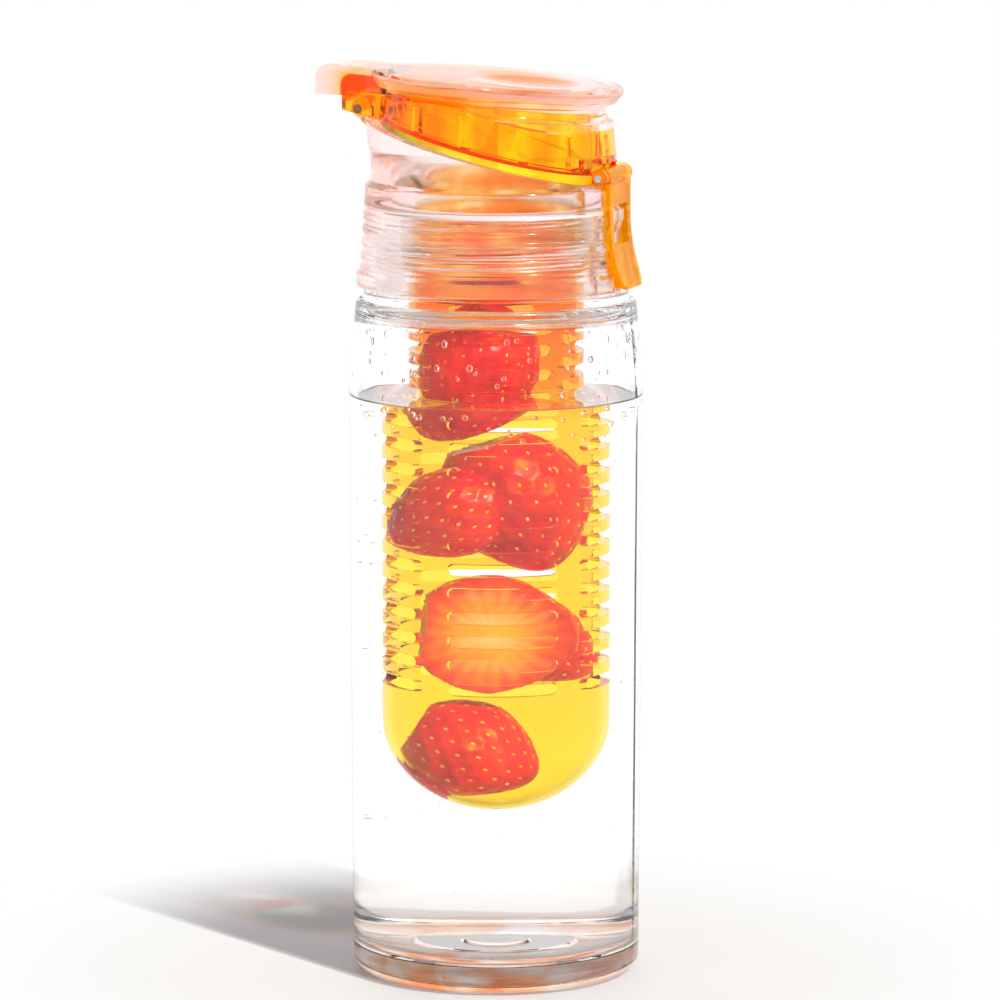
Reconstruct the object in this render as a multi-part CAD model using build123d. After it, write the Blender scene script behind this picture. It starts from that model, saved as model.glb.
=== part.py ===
"""Fruit infuser water bottle: clear bottle, screw collar, slotted basket, slanted flip lid and clasp.

The bottle stands on Z = 0 with its axis on Z. The lid hinges at -X, under the nose, and its clasp is at +X.
All lengths are in millimetres and all angles in degrees.
"""
import math
import os

from build123d import *

# Clearances that several pieces share
overrun = 1.0
seat_gap = 0.3
running_gap = 0.05
fixed_gap = 0.05

# Bottle: body, shoulder and neck
body_radius = 36.5
body_foot_inset = 0.6
body_wall = 2.0
floor_thickness = 7.5
base_round = 4.5
floor_round = 4.0
floor_ring_radius = 16.0
floor_ring_rise = 0.8
floor_disc_radius = 7.0
floor_disc_rise = 0.6
shoulder_height = 169.4
shoulder_drop = 19.0
shoulder_inset = 1.7
shoulder_lean_round = 40.0
shoulder_round = 3.2
shoulder_wall = 3.2
bead_step = 1.6
bead_height = 2.0
neck_inset = 6.8
neck_wall = 2.2
neck_height = 21.2
neck_edge_round = 0.6

# Screw threads: a single-start ridge on each wall
thread_pitch = 4.0
thread_turns = 1.25
ridge_height = 1.1
ridge_root_width = 2.0
ridge_crest_width = 0.9
ridge_bite = 0.4
thread_play = 0.5
neck_thread_drop = 12.0

# Infuser basket
basket_step = 0.8
basket_wall = 1.7
basket_length = 138.8
basket_skirt_gap = 0.45
basket_thread_play = 0.35
basket_thread_drop = 7.6
basket_top_gap = 0.6
basket_flange_gap = 1.0
basket_flange_height = 3.0
basket_seal_thickness = 1.3
slot_rows = 16
slot_height = 3.0
slot_span = 66.0
slot_columns = 4
slot_first_rise = 10.8
slot_last_drop = 13.65
basket_turn = 21.0

# Collar: grip skirt, thread skirt, basket skirt, deck and funnel
collar_foot_gap = 1.0
collar_foot_inset = 1.9
collar_foot_height = 3.6
collar_foot_chamfer = 0.9
collar_draft = 1.3
collar_ring_rise = 2.6
collar_edge_round = 1.0
spout_waist_inset = 1.4
spout_waist_rise = 3.8
spout_lip_flare = 0.9
spout_lip_rise = 13.6
gasket_thickness = 1.5
deck_thickness = 3.0
hollow_inner_wall = 1.8
hollow_width = 1.3
hollow_roof = 6.0
grip_groove_count = 5
grip_groove_radius = 1.0
grip_groove_depth = 0.45
grip_groove_spacing = 3.3
basket_skirt_wall = 1.3
basket_skirt_length = 10.0
throat_inset = 0.8
funnel_foot_rise = 1.9
funnel_rise = 9.5
mouth_wall = 4.8

# Lid heights on the axis: the seat over the collar's deck, the top over the seat, the rest under the top
lid_seat_rise = 10.5
lid_seat_slope = 14.7
lid_band_gap = 0.35
lid_top_rise = 18.4
lid_top_slope = 4.45
split_left_drop = 3.4
split_knee_x = -8.5
split_knee_drop = 5.1
split_foot_inset = 4.9
split_foot_drop = 12.3
split_bend = 9.0

# Lid shell
lid_cone_inset = 1.4
lid_cone_foot_drop = 8.6
lid_cone_taper = 2.6
band_wall = 2.4
lid_plate_thickness = 2.2
lid_ring_inset = 2.5
lid_ring_wall = 1.5
lid_ring_drop = 4.5
lid_ring_slope = 8.0
lid_rib_count = 12
lid_rib_thickness = 2.4
lid_rib_drop = 1.2
lid_gasket_width = 1.6
lid_gasket_depth = 1.2
lid_gasket_shift = 1.6
snap_angles = (-20.0, 20.0, 130.0, -130.0)
snap_width = 4.6
snap_height = 2.6
snap_reach = 0.8
snap_drop = 4.6
snap_play = 0.15

# Lid cover
cover_rim_reach = 3.4
cover_rim_height = 1.7
cover_rim_shift = 0.4
cover_edge_round = 0.7
cover_flare_drop = 6.2
cover_crown = 0.8
cover_plate = 2.6
groove_reach = 1.7
groove_round = 2.2
dish_radius = 14.5
dish_depth = 1.7
dish_shift = 8.8
nose_overhang = 12.4
nose_half_width = 8.6
nose_end_round = 6.5
nose_foot_drop = 0.7
nose_brow_round = 6.0
nose_lip_round = 2.6
nose_root_inset = 15.4
nose_root_half_width = 21.0
nose_blend_inset = 2.9
nose_blend_half_width = 10.6

# Lid hinge
hinge_overhang = 5.5
hinge_rise = 10.4
hinge_pin_radius = 1.1
barrel_radius = 4.0
barrel_half_width = 8.0
head_cover = 2.2
head_foot_drop = 0.7
head_round = 2.6
ear_radius = 2.6
ear_half_width = 4.0
ear_heel_drop = 4.7
ear_heel_inset = 1.3
ear_toe_inset = 4.4
ear_lean = 32.0

# Clasp and its catch
clasp_half_width = 9.5
clasp_inset = 1.6
clasp_thickness = 2.5
clasp_bow_radius = 46.0
clasp_bow_drop = 9.4
clasp_tip_drop = 27.4
clasp_tip_round = 4.0
clasp_top_round = 1.7
clasp_pivot_inset = 0.1
clasp_pivot_drop = 5.2
clasp_pin_radius = 0.9
knuckle_radius = 2.2
lug_thickness = 1.9
lug_radius = 2.4
window_half_width = 6.4
window_drop = 7.0
window_height = 9.6
window_round = 1.4
catch_half_width = 5.7
catch_reach = 1.9
catch_margin = 0.7
catch_ramp_height = 4.9
catch_flat_height = 2.4
recess_gap = 0.4
swing_room = 3.3

# Radii that follow from the sizes, from the body inwards
body_foot_radius = body_radius - body_foot_inset
rim_radius = body_radius - shoulder_inset
bead_radius = rim_radius - bead_step
neck_radius = bead_radius - neck_inset
neck_bore = neck_radius - neck_wall
basket_skirt_radius = neck_bore - basket_skirt_gap
basket_skirt_bore = basket_skirt_radius - basket_skirt_wall
basket_neck_radius = basket_skirt_bore - basket_thread_play - ridge_height
basket_radius = basket_neck_radius + basket_step
basket_flange_radius = neck_bore - basket_flange_gap
throat_radius = basket_neck_radius - throat_inset
collar_bore = neck_radius + ridge_height + thread_play
hollow_inner_radius = collar_bore + hollow_inner_wall
collar_foot_radius = body_radius - collar_foot_inset
collar_grip_radius = collar_foot_radius - collar_foot_chamfer
collar_ring_radius = collar_grip_radius - collar_draft
spout_waist_radius = collar_ring_radius - spout_waist_inset
spout_lip_radius = spout_waist_radius + spout_lip_flare
mouth_radius = spout_waist_radius - mouth_wall
lid_gasket_radius = mouth_radius
lid_cone_foot_radius = spout_lip_radius - lid_cone_inset
lid_cone_top_radius = lid_cone_foot_radius - lid_cone_taper
lid_ring_radius = lid_cone_top_radius - lid_ring_inset
cover_rim_radius = lid_cone_top_radius + cover_rim_reach
groove_radius = lid_cone_top_radius + groove_reach

# Heights that follow from the sizes, from the shoulder up and then down into the bottle
neck_top = shoulder_height + neck_height
deck_under = neck_top + gasket_thickness
deck_top = deck_under + deck_thickness
collar_foot = shoulder_height + bead_height + collar_foot_gap
lid_seat_height = deck_top + lid_seat_rise
lid_top_height = lid_seat_height + lid_top_rise
split_left_height = lid_top_height - split_left_drop
split_knee_height = lid_top_height - split_knee_drop
split_foot_height = lid_top_height - split_foot_drop
lid_ring_height = lid_top_height - lid_ring_drop
lid_cone_foot_height = lid_seat_height - lid_cone_foot_drop
basket_skirt_foot = deck_under - basket_skirt_length
basket_flange_top = basket_skirt_foot - basket_seal_thickness
basket_top = deck_under - basket_top_gap
basket_dome_height = basket_flange_top - basket_length + basket_radius
slot_first_height = basket_dome_height + slot_first_rise
slot_last_height = basket_flange_top - basket_flange_height - slot_last_drop
slot_pitch = (slot_last_height - slot_first_height) / (slot_rows - 1)

# Places on the hinge's side and on the clasp's side
hinge_x = -lid_cone_top_radius - hinge_overhang
hinge_z = lid_seat_height + hinge_rise
nose_reach = -hinge_x + nose_overhang
nose_root_x = -hinge_x - nose_root_inset
nose_blend_x = -hinge_x - nose_blend_inset
nose_foot_height = hinge_z - nose_foot_drop
split_foot_x = lid_cone_top_radius - split_foot_inset
clasp_inner_x = spout_waist_radius - clasp_inset
clasp_pivot_x = clasp_inner_x - clasp_pivot_inset
clasp_pivot_z = lid_seat_height - clasp_pivot_drop
clasp_bow_height = clasp_pivot_z - clasp_bow_drop
clasp_tip_height = clasp_pivot_z - clasp_tip_drop
window_top = clasp_pivot_z - window_drop
lid_high = lid_top_height + nose_reach
lid_wide = 2 * nose_reach
lug_inner = clasp_half_width + seat_gap
lug_outer = lug_inner + lug_thickness
clasp_outer_x = clasp_inner_x + clasp_thickness


def turned(outline):
    """Revolve an outline of (radius, height, corner radius) about the bottle's axis."""
    face = make_face(Polyline(*[(r, 0, z) for r, z, _ in outline], close=True)).face()
    for r, z, corner in outline:
        if corner:
            point = Vector(r, 0, z)
            vertex = min(face.vertices(), key=lambda v: (Vector(v) - point).length)
            face = face.fillet_2d(corner, [vertex])
    return revolve(face, Axis.Z)


def ring(outer, inner, low, high):
    """A plain tube about the bottle's axis."""
    return turned([(inner, low, 0), (outer, low, 0), (outer, high, 0), (inner, high, 0)])


def cross_cylinder(radius, half_length, x, z):
    """A cylinder along Y."""
    return Pos(x, 0, z) * Rot(90, 0, 0) * Cylinder(radius, 2 * half_length)


def cross_prism(points, half_width):
    """An outline of (x, z) points made solid to both sides of the XZ plane."""
    face = make_face(Polyline(*[(x, 0, z) for x, z in points], close=True))
    return extrude(face, half_width, dir=(0, 1, 0), both=True)


def block(x_low, x_high, half_width, z_low, z_high):
    """A box between two x places and two heights, centred on Y."""
    size = (x_high - x_low, 2 * half_width, z_high - z_low)
    return Pos((x_low + x_high) / 2, 0, (z_low + z_high) / 2) * Box(*size)


def fall(x, slope):
    """How far a sloping plane has dropped at an x place."""
    return x * math.tan(math.radians(slope))


def lid_plane(height, slope, lift=0.0):
    """A plane that crosses the axis at a height and falls towards +X."""
    return Plane((0, 0, height)).rotated((0, slope, 0)).offset(lift)


def above(plane):
    """Everything above a lid plane, as a large block."""
    return plane * Pos(0, 0, lid_wide / 2) * Box(2 * lid_wide, 2 * lid_wide, lid_wide)


def below(plane):
    """Everything below a lid plane, as a large block."""
    return plane * Pos(0, 0, -lid_wide / 2) * Box(2 * lid_wide, 2 * lid_wide, lid_wide)


def thread_ridge(wall_radius, start_height, side):
    """A helical ridge on a wall: side is 1 for a ridge that points out and -1 for one that points in."""
    helix = Helix(thread_pitch, thread_pitch * thread_turns, wall_radius)
    foot = -side * ridge_bite
    crest = side * ridge_height
    face = make_face(
        Polyline(
            (foot, -ridge_root_width / 2),
            (crest, -ridge_crest_width / 2),
            (crest, ridge_crest_width / 2),
            (foot, ridge_root_width / 2),
            close=True,
        )
    )
    start = Plane(helix @ 0, x_dir=(1, 0, 0), z_dir=helix % 0)
    return Pos(0, 0, start_height) * sweep(start * face, path=helix, is_frenet=True)


seat_plane = lid_plane(lid_seat_height, lid_seat_slope)
band_plane = lid_plane(lid_seat_height, lid_seat_slope, lid_band_gap)
top_plane = lid_plane(lid_top_height, lid_top_slope)


def make_bottle():
    """Clear bottle with a thick floor, a rounded shoulder and a threaded neck."""
    roof = shoulder_height - shoulder_wall
    lean_foot = shoulder_height - shoulder_drop
    rim_round = min(shoulder_round / 2, bead_step)
    disc_top = floor_thickness + floor_ring_rise + floor_disc_rise
    outline = [
        (0, 0, 0),
        (body_foot_radius, 0, base_round),
        (body_radius, lean_foot, shoulder_lean_round),
        (rim_radius, shoulder_height, rim_round),
        (bead_radius, shoulder_height, 0),
        (bead_radius, shoulder_height + bead_height, neck_edge_round),
        (neck_radius, shoulder_height + bead_height, neck_edge_round),
        (neck_radius, neck_top, neck_edge_round),
        (neck_bore, neck_top, neck_edge_round),
        (neck_bore, roof, shoulder_round / 2),
        (rim_radius - body_wall, roof, shoulder_round),
        (body_radius - body_wall, lean_foot, shoulder_lean_round),
        (body_foot_radius - body_wall, floor_thickness, floor_round),
        (floor_ring_radius, floor_thickness, 0),
        (floor_ring_radius - floor_ring_rise, floor_thickness + floor_ring_rise, 0),
        (floor_disc_radius, floor_thickness + floor_ring_rise, 0),
        (floor_disc_radius - floor_disc_rise, disc_top, 0),
        (0, disc_top, 0),
    ]
    return turned(outline) + thread_ridge(neck_radius, neck_top - neck_thread_drop, 1)


def make_basket():
    """Slotted infuser basket with a domed end, a flange and a threaded neck."""
    flange_foot = basket_flange_top - basket_flange_height
    bore = basket_radius - basket_wall
    neck_bore_radius = basket_neck_radius - basket_wall
    basket = turned([
        (bore, basket_dome_height, 0),
        (basket_radius, basket_dome_height, 0),
        (basket_radius, flange_foot, 0),
        (basket_flange_radius, flange_foot, neck_edge_round),
        (basket_flange_radius, basket_flange_top, neck_edge_round),
        (basket_neck_radius, basket_flange_top, 0),
        (basket_neck_radius, basket_top, 0),
        (neck_bore_radius, basket_top, 0),
        (neck_bore_radius, flange_foot, 0),
        (bore, flange_foot - basket_wall, 0),
    ])
    dome = Sphere(basket_radius) - Sphere(bore)
    dome &= Pos(0, 0, -basket_radius) * Box(2 * body_radius, 2 * body_radius, 2 * basket_radius)
    basket += Pos(0, 0, basket_dome_height) * dome
    slot_length = 2 * basket_radius * math.sin(math.radians(slot_span / 2))
    rows = Sketch() + [
        Pos(0, slot_first_height + row * slot_pitch) * SlotOverall(slot_length, slot_height)
        for row in range(slot_rows)
    ]
    for column in range(slot_columns // 2):
        turn = basket_turn + column * 360 / slot_columns
        basket -= Rot(0, 0, turn) * extrude(Plane.XZ * rows, basket_radius + overrun, both=True)
    return basket + thread_ridge(basket_neck_radius, basket_top - basket_thread_drop, 1)


def clasp_bow(extra, half_width):
    """The solid that the clasp's inner face is cut from, grown by extra towards the bottle."""
    centre_x = clasp_outer_x + clasp_bow_radius
    radius = clasp_bow_radius + clasp_thickness + extra
    bow = cross_cylinder(radius, half_width, centre_x, clasp_bow_height)
    return bow + block(clasp_inner_x - extra, centre_x, half_width, clasp_bow_height, lid_seat_height)


def make_collar():
    """Clear screw collar: grip skirt, two threaded skirts, funnel mouth, hinge ear and clasp catch."""
    foot_top = collar_foot + collar_foot_height
    ring_top = deck_top + collar_ring_rise
    lip_height = deck_top + spout_lip_rise
    outside = turned([
        (0, collar_foot, 0),
        (collar_foot_radius, collar_foot, neck_edge_round),
        (collar_foot_radius, foot_top, 0),
        (collar_grip_radius, foot_top + collar_foot_chamfer, 0),
        (collar_ring_radius, ring_top, collar_edge_round),
        (spout_waist_radius, ring_top + collar_edge_round, 0),
        (spout_waist_radius, lip_height - spout_waist_rise, spout_waist_rise),
        (spout_lip_radius, lip_height, spout_waist_rise),
        (spout_lip_radius, lid_high, 0),
        (0, lid_high, 0),
    ])
    inside = turned([
        (0, collar_foot - overrun, 0),
        (collar_bore, collar_foot - overrun, 0),
        (collar_bore, deck_under, 0),
        (basket_skirt_radius, deck_under, 0),
        (basket_skirt_radius, basket_skirt_foot, 0),
        (basket_skirt_bore, basket_skirt_foot, 0),
        (basket_skirt_bore, deck_under, 0),
        (throat_radius, deck_under, 0),
        (throat_radius, deck_top + funnel_foot_rise, 0),
        (mouth_radius, deck_top + funnel_foot_rise + funnel_rise, 0),
        (mouth_radius, lid_high, 0),
        (0, lid_high, 0),
    ])
    collar = outside - above(seat_plane) - inside
    for index in range(grip_groove_count):
        height = foot_top + collar_foot_chamfer + grip_groove_spacing * (index + 1 / 2)
        share = (height - foot_top) / (ring_top - foot_top)
        wall = collar_grip_radius + (collar_ring_radius - collar_grip_radius) * share
        centre = wall + grip_groove_radius - grip_groove_depth
        collar -= Pos(0, 0, height) * Torus(centre, grip_groove_radius)
    recess_half = clasp_half_width + recess_gap
    hollow_outer_radius = hollow_inner_radius + hollow_width
    hollow = ring(hollow_outer_radius, hollow_inner_radius, collar_foot - overrun, deck_under - hollow_roof)
    hollow -= block(0, lid_wide, recess_half + clasp_thickness, 0, lid_high)
    collar = collar - hollow - clasp_bow(recess_gap, recess_half)
    collar = collar + make_ear() + make_catch()
    collar -= cross_cylinder(hinge_pin_radius + fixed_gap, lid_wide, hinge_x, hinge_z)
    collar += thread_ridge(collar_bore, neck_top - neck_thread_drop - thread_pitch / 2, -1)
    return collar + thread_ridge(basket_skirt_bore, basket_top - basket_thread_drop + thread_pitch / 2, -1)


def make_ear():
    """The collar's hinge ear: a round eye on a neck that leans out from the spout's wall."""
    eye = cross_cylinder(ear_radius, ear_half_width, hinge_x, hinge_z)
    heel_z = hinge_z - ear_heel_drop
    toe_x = hinge_x + ear_toe_inset
    near_x = hinge_x + ear_radius
    lean = math.radians(ear_lean)
    neck = cross_prism(
        [
            (hinge_x - ear_radius * math.cos(lean), hinge_z - ear_radius * math.sin(lean)),
            (hinge_x + ear_heel_inset, heel_z),
            (toe_x, heel_z),
            (toe_x, lid_seat_height - fall(toe_x, lid_seat_slope)),
            (near_x, lid_seat_height - fall(near_x, lid_seat_slope)),
            (near_x, hinge_z),
        ],
        ear_half_width,
    )
    return eye + neck


def make_catch():
    """Ramped catch on the floor of the collar's recess, inside the clasp's window."""
    low = window_top - window_height + catch_margin
    floor_x = clasp_inner_x - recess_gap
    crest_x = clasp_inner_x + catch_reach
    return cross_prism(
        [
            (floor_x - recess_gap, low),
            (floor_x, low),
            (crest_x, low + catch_ramp_height),
            (crest_x, low + catch_ramp_height + catch_flat_height),
            (floor_x, window_top - catch_margin),
            (floor_x - recess_gap, window_top - catch_margin),
        ],
        catch_half_width,
    )


def under_split(gap):
    """Everything below the wavy line where the cover meets the shell, lowered by a gap."""
    left = (-lid_wide, split_left_height - gap)
    knee = (split_knee_x, split_knee_height - gap)
    foot = (split_foot_x, split_foot_height - gap)
    lines = Curve() + [
        Line(left, knee),
        Bezier(knee, (split_knee_x + split_bend, knee[1]), (split_foot_x - split_bend, foot[1]), foot),
        Polyline(foot, (lid_wide, foot[1]), (lid_wide, 0), (-lid_wide, 0), left),
    ]
    return extrude(Plane.XZ * make_face(lines), lid_wide, both=True)


def lid_cone(grow=0.0):
    """The tapered outside of the lid, from below the band to above the cover, grown by an offset."""
    return turned([
        (0, lid_cone_foot_height, 0),
        (lid_cone_foot_radius + grow, lid_cone_foot_height, 0),
        (lid_cone_top_radius + grow, lid_top_height, 0),
        (lid_cone_top_radius + grow, lid_high, 0),
        (0, lid_high, 0),
    ])


def hinge_barrel(extra):
    """The thick head of the lid shell round the hinge pin, up to just under the cover, grown by extra."""
    half_width = barrel_half_width + extra
    left = hinge_x - barrel_radius - extra
    right = -lid_cone_top_radius + band_wall
    roof = lid_top_height - head_cover + extra
    head = cross_prism(
        [
            (left, hinge_z - head_foot_drop),
            (left, roof - fall(left, lid_top_slope)),
            (right, roof - fall(right, lid_top_slope)),
            (right, lid_cone_foot_height),
            (hinge_x, lid_cone_foot_height),
            (hinge_x, hinge_z - head_foot_drop),
        ],
        half_width,
    )
    brow = head.edges().filter_by(Axis.Y).group_by(Axis.X)[0].sort_by(Axis.Z)[-1]
    head = fillet(brow, head_round + extra)
    return head + cross_cylinder(barrel_radius + extra, half_width, hinge_x, hinge_z)


def make_lid_shell():
    """Orange half of the lid: band, sealing plate, inner ring, ribs, hinge barrel and clasp lugs."""
    ring_top = lid_plane(lid_ring_height, lid_ring_slope)
    plate_top = band_plane.offset(lid_plate_thickness)
    upper_ring = ring(lid_ring_radius, 0, lid_cone_foot_height, lid_high) - above(ring_top)
    shell = (lid_cone() & under_split(fixed_gap)) + upper_ring + hinge_barrel(0)
    shell = shell + make_snaps(0) + make_lugs() - below(band_plane)
    channel = lid_cone(-band_wall) - ring(lid_ring_radius, 0, 0, lid_high)
    core = ring(lid_ring_radius - lid_ring_wall, 0, 0, lid_high)
    pad_top = clasp_pivot_z + swing_room + band_wall / 2
    pad = block(lid_ring_radius - lid_ring_wall, lid_wide, lug_outer, 0, pad_top)
    shell -= (channel - pad - make_ribs()) & above(plate_top)
    shell -= core & above(plate_top)
    shell = shell - make_clasp_room() - make_ear_room()
    shell -= cross_cylinder(hinge_pin_radius + running_gap, lid_wide, hinge_x, hinge_z)
    shell -= cross_cylinder(clasp_pin_radius + fixed_gap, lid_wide, clasp_pivot_x, clasp_pivot_z)
    return shell - make_gasket(fixed_gap)


def make_ribs():
    """Upright ribs between the band and the inner ring, a little lower than the band's top."""
    blades = [
        Rot(0, 0, index * 360 / lid_rib_count) * Pos(body_radius / 2, 0, lid_top_height)
        * Box(body_radius, lid_rib_thickness, lid_wide)
        for index in range(lid_rib_count)
    ]
    return (Part() + blades) & under_split(lid_rib_drop)


def make_snaps(play):
    """Small lugs on the inner ring that hold the cover, grown by a play."""
    lugs = []
    for angle in snap_angles:
        place = lid_ring_radius * math.cos(math.radians(angle))
        height = lid_ring_height - fall(place, lid_ring_slope) - snap_drop + snap_height
        reach = lid_ring_radius + snap_reach + play - lid_ring_wall
        size = (reach - lid_ring_radius + 2 * lid_ring_wall, snap_width + 2 * play, snap_height + 2 * play)
        middle = lid_ring_radius + snap_reach + play - size[0] / 2
        lugs.append(Rot(0, 0, angle) * Pos(middle, 0, height) * Box(*size))
    return Part() + lugs


def make_lugs():
    """The two round lugs of the lid shell that hold the clasp's pin."""
    lugs = cross_cylinder(lug_radius, lug_outer, clasp_pivot_x, clasp_pivot_z)
    lugs += block(
        clasp_pivot_x - 2 * lug_radius, clasp_pivot_x, lug_outer, clasp_pivot_z - lug_radius,
        clasp_pivot_z + lug_radius,
    )
    return lugs


def make_clasp_room():
    """Room in the band for the clasp's knuckle, with more above it where the clasp's head swings."""
    knuckle_room = cross_cylinder(knuckle_radius + seat_gap, lug_inner, clasp_pivot_x, clasp_pivot_z)
    head_room = cross_cylinder(swing_room, lug_inner, clasp_pivot_x, clasp_pivot_z)
    head_room &= block(0, lid_wide, lug_inner, clasp_pivot_z, lid_high)
    front = block(clasp_pivot_x, lid_wide, lug_inner, lid_cone_foot_height, clasp_pivot_z + swing_room)
    return knuckle_room + head_room + front


def make_ear_room():
    """Slot in the hinge barrel that the collar's ear stands in while the lid swings."""
    half_width = ear_half_width + seat_gap
    room = cross_cylinder(ear_radius + seat_gap, half_width, hinge_x, hinge_z)
    sweep_round = cross_cylinder(barrel_radius + seat_gap, half_width, hinge_x, hinge_z)
    sweep_round &= block(-lid_wide, hinge_x, half_width, 0, lid_high)
    foot = block(
        -lid_wide, hinge_x + ear_radius + seat_gap, half_width, lid_cone_foot_height, hinge_z
    )
    return room + sweep_round + foot


def make_gasket(extra=0.0):
    """Silicone ring in the underside of the lid, round the mouth."""
    sketch = Circle(lid_gasket_radius + lid_gasket_width + extra) - Circle(lid_gasket_radius - extra)
    return extrude(seat_plane * Pos(-lid_gasket_shift, 0) * sketch, lid_band_gap + lid_gasket_depth + extra)


def make_rim():
    """The flared disc at the top of the cover, with a slight crown."""
    edge_x = cover_rim_radius - cover_edge_round
    crown = ThreePointArc((0, cover_crown), (edge_x / 2, cover_crown * 3 / 4), (edge_x, 0))
    flare = Polyline(
        (edge_x, 0),
        (cover_rim_radius, -cover_edge_round),
        (cover_rim_radius, -cover_rim_height),
        (lid_cone_top_radius, -cover_flare_drop),
        (0, -cover_flare_drop),
        (0, cover_crown),
    )
    profile = Plane.XZ * make_face(Curve() + [crown, flare])
    return top_plane * Pos(cover_rim_shift, 0) * revolve(profile, Axis.Z)


def make_nose():
    """The cover's nose: a tongue whose end droops round the hinge barrel."""
    side = cross_prism(
        [
            (-nose_root_x, hinge_z + barrel_radius + seat_gap),
            (hinge_x, hinge_z + barrel_radius + seat_gap),
            (hinge_x, nose_foot_height),
            (-nose_reach, nose_foot_height),
            (-nose_reach, lid_top_height - fall(-nose_reach, lid_top_slope)),
            (-nose_root_x, lid_top_height - fall(-nose_root_x, lid_top_slope)),
        ],
        nose_root_half_width,
    )
    far_edges = side.edges().filter_by(Axis.Y).group_by(Axis.X)[0].sort_by(Axis.Z)
    side = fillet(far_edges[-1], nose_brow_round)
    lip = side.edges().filter_by(Axis.Y).group_by(Axis.Z)[0].sort_by(Axis.X)
    side = fillet(lip[0], nose_lip_round)
    half = [
        (-nose_root_x, nose_root_half_width),
        (-nose_blend_x, nose_blend_half_width),
        (-nose_reach, nose_half_width),
    ]
    plan = make_face(Polyline(*half, *[(x, -y) for x, y in reversed(half)], close=True))
    plan = fillet(plan.vertices().group_by(Axis.X)[0], nose_end_round)
    return side & extrude(plan, lid_high)


def make_cover():
    """Clear top of the lid: flared rim, finger groove, dished crown and a drooping nose."""
    skirt = lid_cone() - above(top_plane)
    groove = Pos(cover_rim_shift, 0, -cover_flare_drop) * Torus(groove_radius, groove_round)
    cover = skirt + make_rim() - top_plane * groove
    cover += make_nose()
    cavity = ring(lid_ring_radius + snap_play, 0, 0, lid_high)
    ring_room = cavity - above(lid_plane(lid_ring_height, lid_ring_slope, running_gap))
    cavity = cavity - above(top_plane.offset(-cover_plate)) + ring_room
    sphere_radius = (dish_radius**2 + dish_depth**2) / (2 * dish_depth)
    lift = sphere_radius - dish_depth + cover_crown * 3 / 4
    dish = top_plane * Pos(dish_shift, 0, lift) * Sphere(sphere_radius)
    return cover - cavity - under_split(0) - dish - hinge_barrel(seat_gap) - make_snaps(snap_play)


def make_clasp():
    """Bowed clasp with a window, a flared tip and a knuckle on its pin."""
    top = clasp_pivot_z + knuckle_radius
    centre_x = clasp_outer_x + clasp_bow_radius
    solid = clasp_bow(0, clasp_half_width) & block(0, centre_x, clasp_half_width, clasp_tip_height, top)
    solid -= cross_cylinder(clasp_bow_radius, lid_wide, centre_x, clasp_bow_height)
    solid -= block(clasp_outer_x, lid_wide, lid_wide, clasp_bow_height, lid_high)
    solid += cross_cylinder(knuckle_radius, clasp_half_width, clasp_pivot_x, clasp_pivot_z)
    corner = solid.edges().filter_by(Axis.Y).group_by(Axis.Z)[-1].sort_by(Axis.X)[-1]
    solid = fillet(corner, clasp_top_round)
    height = lid_high - clasp_tip_height
    outline = Pos(0, clasp_tip_height + height / 2) * Rectangle(2 * clasp_half_width, height)
    outline = fillet(outline.vertices().group_by(Axis.Y)[0], clasp_tip_round)
    window = Pos(0, window_top - window_height / 2) * RectangleRounded(
        2 * window_half_width, window_height, window_round
    )
    solid &= extrude(Plane.YZ * (outline - window), lid_wide)
    return solid - cross_cylinder(clasp_pin_radius + running_gap, lid_wide, clasp_pivot_x, clasp_pivot_z)


def make_parts():
    """Every separate piece, by node name."""
    return {
        "bottle_body": make_bottle(),
        "collar": make_collar(),
        "collar_gasket": ring(collar_bore - seat_gap, basket_skirt_radius + seat_gap, neck_top, deck_under),
        "infuser_basket": make_basket(),
        "infuser_seal": ring(
            basket_flange_radius, basket_neck_radius + seat_gap, basket_flange_top, basket_skirt_foot
        ),
        "lid_shell": make_lid_shell(),
        "lid_cover": make_cover(),
        "lid_gasket": make_gasket(),
        "lid_hinge_pin": cross_cylinder(hinge_pin_radius, barrel_half_width, hinge_x, hinge_z),
        "clasp": make_clasp(),
        "clasp_pin": cross_cylinder(clasp_pin_radius, lug_outer, clasp_pivot_x, clasp_pivot_z),
    }


os.makedirs("parts", exist_ok=True)
for node, shape in make_parts().items():
    export_step(shape, f"parts/{node}.step")
    print(node, "volume", round(shape.volume), "solids", len(shape.solids()))
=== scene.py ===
# %% [markdown]
# A clear water bottle with an orange fruit basket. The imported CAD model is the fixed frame: every
# moulding keeps its CAD shape here and gets its finish, and the water, the fruit, the bubbles and
# the droplets are new pieces that ride on the bodies. Lengths are in metres.

# %% Load the frame
import math
import random

import bmesh
import bpy
from mathutils import Matrix, Vector


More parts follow.
